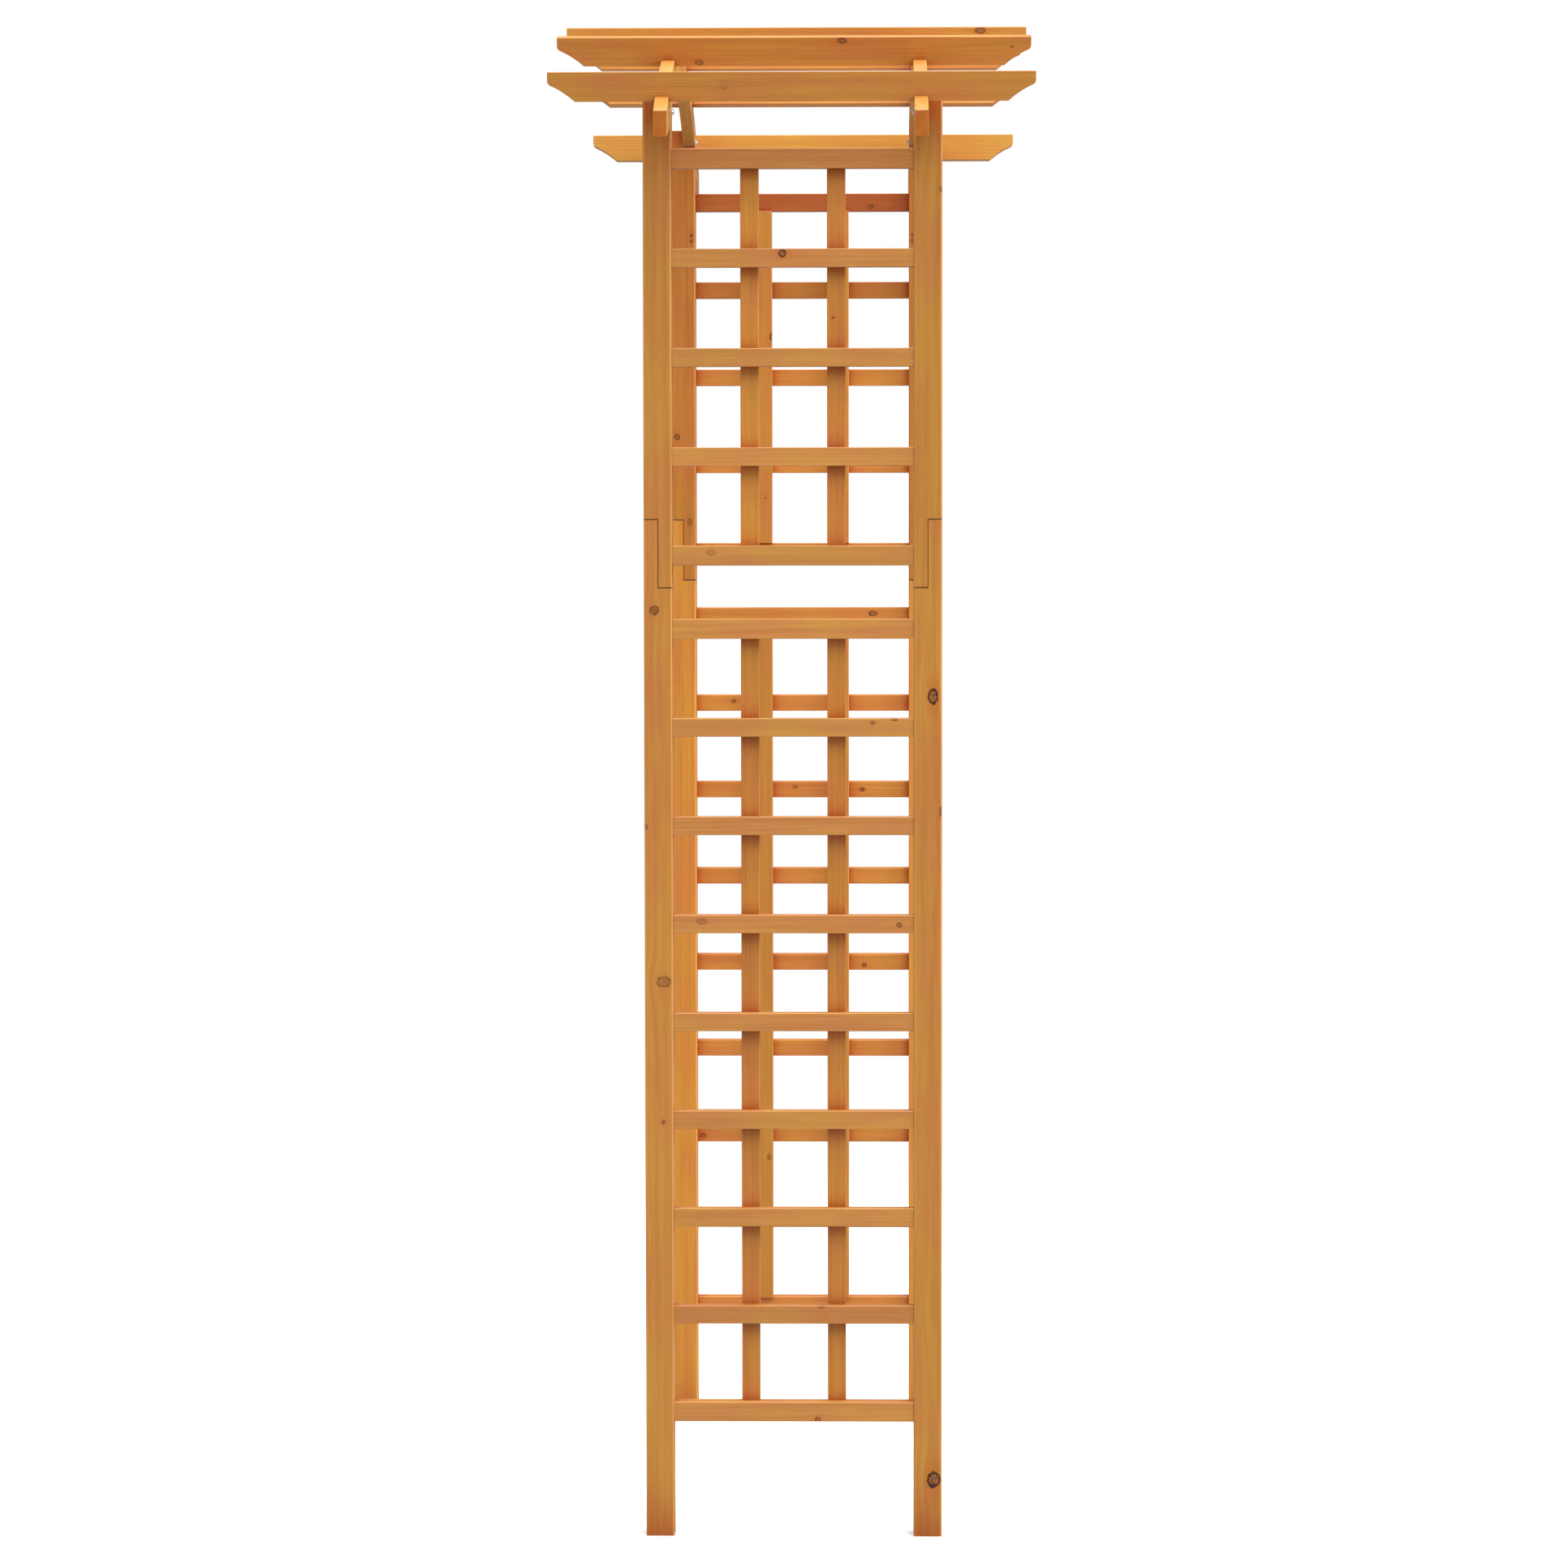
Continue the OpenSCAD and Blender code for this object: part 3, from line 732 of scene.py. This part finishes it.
# ---------------------------------------------------------------- fasteners
# Screws by their radii, heights and lengths, and the crosses in their heads by depth, width and length.
DOME_R, DOME_H, DOME_SHANK_R, DOME_LENGTH = 5 * MM, 4 * MM, 2.4 * MM, 34 * MM
DOME_STEPS = 10
DOME_CROSS = (1.9 * MM, 1.1 * MM, 4.6 * MM)
FLAT_R, FLAT_SHANK_R, FLAT_HEAD_H = 4 * MM, 2 * MM, 2.4 * MM
FLAT_RIM_H, FLAT_RIM_EASE = 0.2 * MM, 0.2 * MM
FLAT_CROSS = (1.5 * MM, 0.9 * MM, 4.4 * MM)
LAP_SCREW_LENGTH = 34 * MM
SLAT_SCREW_LENGTH = 50 * MM
# A brad from its point to the dimple in its head, as (radius, height).
BRAD = [(0, -28 * MM), (0.8 * MM, -26 * MM), (0.8 * MM, -1 * MM), (1.5 * MM, -0.3 * MM),
        (1.6 * MM, -0.1 * MM), (1.5 * MM, 0), (0.5 * MM, -0.12 * MM), (0, -0.2 * MM)]
TURNED_STEPS = 32
SHARP_ANGLE = math.radians(35)
WELD_DISTANCE = 0.001 * MM
BRAD_STEPS = 20
ZINC_BRIGHT, ZINC_DULL = srgb(214, 216, 218), srgb(186, 190, 198)
MOTTLE_SCALE = 900
SCRATCH_SCALE = (2600, 2600, 500)
SCRATCH_DEPTH = 0.05 * MM
ZINC_ROUGHNESS = (0.2, 0.4)
# How narrow the foot of a screw head's cross is, along an arm and across it.
CROSS_TAPER = (0.35, 0.7)


def zinc_material():
    """Bright zinc plating with a faint mottled tint and fine scratches along z."""
    material = bpy.data.materials.new("zinc_plating")
    material.use_nodes = True
    material.node_tree.nodes.clear()
    graph = Graph(material.node_tree)
    place = graph.node("ShaderNodeTexCoord").outputs["Object"]
    mottle = graph.noise(place, scale=MOTTLE_SCALE, detail=3)
    colour = graph.mix(graph.ramp(mottle, 0.3, 0.7), ZINC_BRIGHT, ZINC_DULL)
    scratches = graph.noise(graph.scaled(place, *SCRATCH_SCALE), detail=2)
    roughness = graph.ramp(scratches, 0.3, 0.7, *ZINC_ROUGHNESS)
    bump = graph.node("ShaderNodeBump", {"Strength": 0.2, "Distance": SCRATCH_DEPTH, "Height": scratches})
    shader = graph.node("ShaderNodeBsdfPrincipled", {
        "Base Color": colour, "Roughness": roughness, "Normal": bump.outputs[0], "Metallic": 1.0})
    graph.node("ShaderNodeOutputMaterial", {"Surface": shader.outputs[0]})
    return material


def lathe(profile, steps=TURNED_STEPS):
    """A closed turned shape from (radius, height) points, its axis along z."""
    bm = bmesh.new()
    rings = []
    for radius, height in profile:
        if radius == 0:
            rings.append([bm.verts.new((0, 0, height))] * steps)
        else:
            rings.append([bm.verts.new((radius * math.cos(2 * math.pi * k / steps),
                                        radius * math.sin(2 * math.pi * k / steps), height))
                          for k in range(steps)])
    for lower, upper in zip(rings, rings[1:]):
        for k in range(steps):
            n = (k + 1) % steps
            corners = list(dict.fromkeys((lower[k], lower[n], upper[n], upper[k])))
            if len(corners) > 2:
                bm.faces.new(corners)
    bmesh.ops.recalc_face_normals(bm, faces=bm.faces)
    return bm


def cross_recess(bm, depth, width, length):
    """Cuts a tapered cross into the top of a screw head."""
    body = bpy.data.meshes.new("head")
    bm.to_mesh(body)
    bm.free()
    head = bpy.data.objects.new("head", body)
    bpy.context.scene.collection.objects.link(head)
    top = max(vert.co.z for vert in body.vertices)
    tools = []
    for turn in (0, math.pi / 2):
        cutter = bmesh.new()
        bmesh.ops.create_cube(cutter, size=1.0)
        for vert in cutter.verts:
            upper = vert.co.z > 0
            along, across = (1.0, 1.0) if upper else CROSS_TAPER
            vert.co.x *= length * along
            vert.co.y *= width * across
            vert.co.z = top + depth if upper else top - depth
        bmesh.ops.rotate(cutter, verts=cutter.verts, matrix=Matrix.Rotation(turn, 3, "Z"))
        mesh = bpy.data.meshes.new("cutter")
        cutter.to_mesh(mesh)
        cutter.free()
        tool = bpy.data.objects.new("cutter", mesh)
        bpy.context.scene.collection.objects.link(tool)
        cut = head.modifiers.new("cut", "BOOLEAN")
        cut.operation, cut.object, cut.solver = "DIFFERENCE", tool, "EXACT"
        tools.append(tool)
    graph = bpy.context.evaluated_depsgraph_get()
    result = bpy.data.meshes.new_from_object(head.evaluated_get(graph), depsgraph=graph)
    for item in tools + [head]:
        bpy.data.objects.remove(item)
    return result


def islands(node):
    """The loose solids of a CAD node, each as a list of its points."""
    bm = bmesh.new()
    bm.from_mesh(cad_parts[node].data)
    bmesh.ops.remove_doubles(bm, verts=bm.verts, dist=WELD_DISTANCE)
    seen, found = set(), []
    for start in bm.verts:
        if start in seen:
            continue
        seen.add(start)
        queue, points = [start], []
        while queue:
            vert = queue.pop()
            points.append(vert.co.copy())
            for edge in vert.link_edges:
                other = edge.other_vert(vert)
                if other not in seen:
                    seen.add(other)
                    queue.append(other)
        found.append(points)
    bm.free()
    return found


def fasteners(node, template, axis_of, material):
    """Puts a copy of template, whose head top is at its origin, where each solid of the CAD node is."""
    rng = random.Random("arbor " + node)
    joined = bmesh.new()
    for points in islands(node):
        centre = sum(points, Vector()) / len(points)
        axis = axis_of(centre).normalized()
        top = max(point.dot(axis) for point in points)
        spot = centre + axis * (top - centre.dot(axis))
        turn = Matrix.Rotation(rng.uniform(0, math.pi), 4, "Z")
        mesh = template.copy()
        mesh.transform(Matrix.Translation(spot) @ axis.to_track_quat("Z", "Y").to_matrix().to_4x4() @ turn)
        joined.from_mesh(mesh)
        bpy.data.meshes.remove(mesh)
    mesh = bpy.data.meshes.new(node + "_set")
    joined.to_mesh(mesh)
    joined.free()
    mesh.polygons.foreach_set("use_smooth", [True] * len(mesh.polygons))
    mesh.set_sharp_from_angle(angle=SHARP_ANGLE)
    mesh.materials.append(material)
    piece = bpy.data.objects.new(node + "_set", mesh)
    bpy.context.scene.collection.objects.link(piece)
    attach(piece, "root")
    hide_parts(node)


def dome_screw():
    """A screw with a round head."""
    sphere = (DOME_R**2 + DOME_H**2) / (2 * DOME_H)
    sweep = math.asin(DOME_R / sphere)
    profile = [(0, -DOME_H - DOME_LENGTH), (DOME_SHANK_R, -DOME_H - DOME_LENGTH), (DOME_SHANK_R, -DOME_H)]
    for i in range(DOME_STEPS, 0, -1):
        angle = sweep * i / DOME_STEPS
        profile.append((sphere * math.sin(angle), sphere * math.cos(angle) - sphere))
    return cross_recess(lathe(profile + [(0, 0)]), *DOME_CROSS)


def flat_screw(length):
    """A screw with a countersunk head."""
    return cross_recess(lathe([
        (0, -length), (FLAT_SHANK_R, -length), (FLAT_SHANK_R, -FLAT_HEAD_H), (FLAT_R, -FLAT_RIM_H),
        (FLAT_R - FLAT_RIM_EASE, 0), (0, 0)]), *FLAT_CROSS)


def brad():
    """A lost-head nail."""
    mesh = bpy.data.meshes.new("brad")
    turned = lathe(BRAD, BRAD_STEPS)
    turned.to_mesh(mesh)
    turned.free()
    return mesh


def add_fasteners():
    """Every screw and brad, its axis pointing out of its head."""
    zinc = zinc_material()
    fasteners("rafter_screws", dome_screw(), lambda centre: Vector((-centre.x, 0, 0)), zinc)
    fasteners("lap_screws", flat_screw(LAP_SCREW_LENGTH), lambda centre: Vector((centre.x, 0, 0)), zinc)
    fasteners("slat_screws", flat_screw(SLAT_SCREW_LENGTH), slat_axis, zinc)
    nail = brad()
    for panel in PANELS:
        fasteners(f"{panel}_lattice_brads", nail, lambda centre: Vector((0, -centre.y, 0)), zinc)


# ---------------------------------------------------------------- studio
# The camera stands a little to the right of the middle and looks slightly down.
CAMERA_PLACE = (0.112, -7.078, 1.438)
CAMERA_TILT = math.radians(3.174)
CAMERA_TURN = 0.0189
CAMERA_ROLL = 0.0013
CAMERA_LENS = 107.8
CAMERA_SENSOR = 36.0
CAMERA_REACH = 300.0
AIM = Vector((0, 0, 1.1))
LIGHT_DISTANCE = 15.0
# Softboxes: azimuth, elevation, size and power.
LIGHTS = {
    "key": (12, 44, (9.0, 8.0), 700),
    "overhead": (0, 84, (9.0, 9.0), 2300),
    "back_top": (170, 58, (9.0, 6.0), 520),
    "right": (80, 20, (9.0, 9.0), 1850),
    "left_fill": (-80, 20, (9.0, 9.0), 200),
}
FLOOR_RADIUS = 80.0
FLOOR_SEGMENTS = 96
# The floor takes shadows up to the first distance from its middle, and is plain white past the second.
FLOOR_SHADOWS = 1.0
FLOOR_GLOW = 4.0
FLOOR_SHOWN = 0.86
FLOOR_BOUNCED = 0.3
# The surround's strength for gloss, behind the arbor and in front of it, with the y of the directions between
# which it changes, and its strength for diffuse light.
SURROUND_GLOSS = 0.25
SURROUND_DIM = 0.12
SURROUND_TURN = (-0.5, 0.4)
SURROUND_DIFFUSE = 0.62


def area_light(name, azimuth, elevation, size, power):
    """A far softbox aimed at the arbor. Azimuth 0 is behind the camera, and positive is to its right."""
    data = bpy.data.lights.new(name, "AREA")
    data.shape = "RECTANGLE"
    data.size, data.size_y = size
    data.energy = power
    azimuth, elevation = math.radians(azimuth), math.radians(elevation)
    toward = Vector((math.sin(azimuth) * math.cos(elevation), -math.cos(azimuth) * math.cos(elevation),
                     math.sin(elevation)))
    light = bpy.data.objects.new(name, data)
    light.location = AIM + toward * LIGHT_DISTANCE
    light.rotation_euler = (-toward).to_track_quat("-Z", "Y").to_euler()
    bpy.context.scene.collection.objects.link(light)


def add_camera(scene):
    data = bpy.data.cameras.new("camera")
    data.sensor_width = CAMERA_SENSOR
    data.lens = CAMERA_LENS
    data.clip_end = CAMERA_REACH
    camera = bpy.data.objects.new("camera", data)
    camera.location = CAMERA_PLACE
    turn = Matrix.Rotation(CAMERA_TURN, 3, "Z") @ Matrix.Rotation(math.pi / 2 - CAMERA_TILT, 3, "X")
    camera.rotation_euler = (turn @ Matrix.Rotation(-CAMERA_ROLL, 3, "Z")).to_euler()
    scene.collection.objects.link(camera)
    scene.camera = camera


def add_floor(scene):
    """A wide pale floor that bounces less light than it shows, so that the undersides keep their depth."""
    bm = bmesh.new()
    bmesh.ops.create_circle(bm, cap_ends=True, radius=FLOOR_RADIUS, segments=FLOOR_SEGMENTS)
    mesh = bpy.data.meshes.new("floor")
    bm.to_mesh(mesh)
    bm.free()
    floor = bpy.data.objects.new("floor", mesh)
    scene.collection.objects.link(floor)
    material = bpy.data.materials.new("pale_floor")
    material.use_nodes = True
    material.node_tree.nodes.clear()
    graph = Graph(material.node_tree)
    seen = graph.node("ShaderNodeLightPath").outputs["Is Camera Ray"]
    from_middle = graph.vector("LENGTH", graph.node("ShaderNodeTexCoord").outputs["Object"])
    lit = graph.node("ShaderNodeBsdfDiffuse", {"Color": (*[FLOOR_SHOWN] * 3, 1)})
    glow = graph.node("ShaderNodeEmission", {"Color": (1, 1, 1, 1), "Strength": 1.0})
    shown = graph.node("ShaderNodeMixShader", {
        0: graph.ramp(from_middle, FLOOR_SHADOWS, FLOOR_GLOW), 1: lit.outputs[0], 2: glow.outputs[0]})
    bounced = graph.node("ShaderNodeBsdfDiffuse", {"Color": (*[FLOOR_BOUNCED] * 3, 1)})
    surface = graph.node("ShaderNodeMixShader", {0: seen, 1: bounced.outputs[0], 2: shown.outputs[0]})
    graph.node("ShaderNodeOutputMaterial", {"Surface": surface.outputs[0]})
    mesh.materials.append(material)


def add_world(scene):
    """A white surround that lights the boards softly. Its gloss is dimmer in front, as in a dark studio."""
    world = bpy.data.worlds.new("studio")
    world.use_nodes = True
    world.node_tree.nodes.clear()
    graph = Graph(world.node_tree)
    path = graph.node("ShaderNodeLightPath").outputs
    toward = graph.split(graph.node("ShaderNodeTexCoord").outputs["Generated"])
    gloss = graph.ramp(toward[1], *SURROUND_TURN, SURROUND_DIM, SURROUND_GLOSS)
    diffuse = path["Is Diffuse Ray"]
    strength = graph.math("MAXIMUM", gloss, path["Is Camera Ray"])
    strength = graph.math("MULTIPLY", strength, graph.math("SUBTRACT", 1.0, diffuse))
    strength = graph.math("MULTIPLY_ADD", diffuse, SURROUND_DIFFUSE, strength)
    background = graph.node("ShaderNodeBackground", {"Color": (1, 1, 1, 1), "Strength": strength})
    graph.node("ShaderNodeOutputWorld", {"Surface": background.outputs[0]})
    scene.world = world


def studio():
    """The camera, floor, surround and lights."""
    scene = bpy.context.scene
    scene.view_settings.view_transform = "Standard"
    add_camera(scene)
    add_floor(scene)
    add_world(scene)
    for name, settings in LIGHTS.items():
        area_light(name, *settings)


for panel in PANELS:
    for side in SIDES:
        lower_post(panel, side)
        upper_post(panel, side)
        for section in RAILS:
            upright(panel, side, section)
    for section, count in RAILS.items():
        for number in range(1, count + 1):
            rail(panel, section, number)
for side in SIDES:
    rafter(side)
for number in range(1, SLATS + 1):
    slat(number)
add_fasteners()
studio()
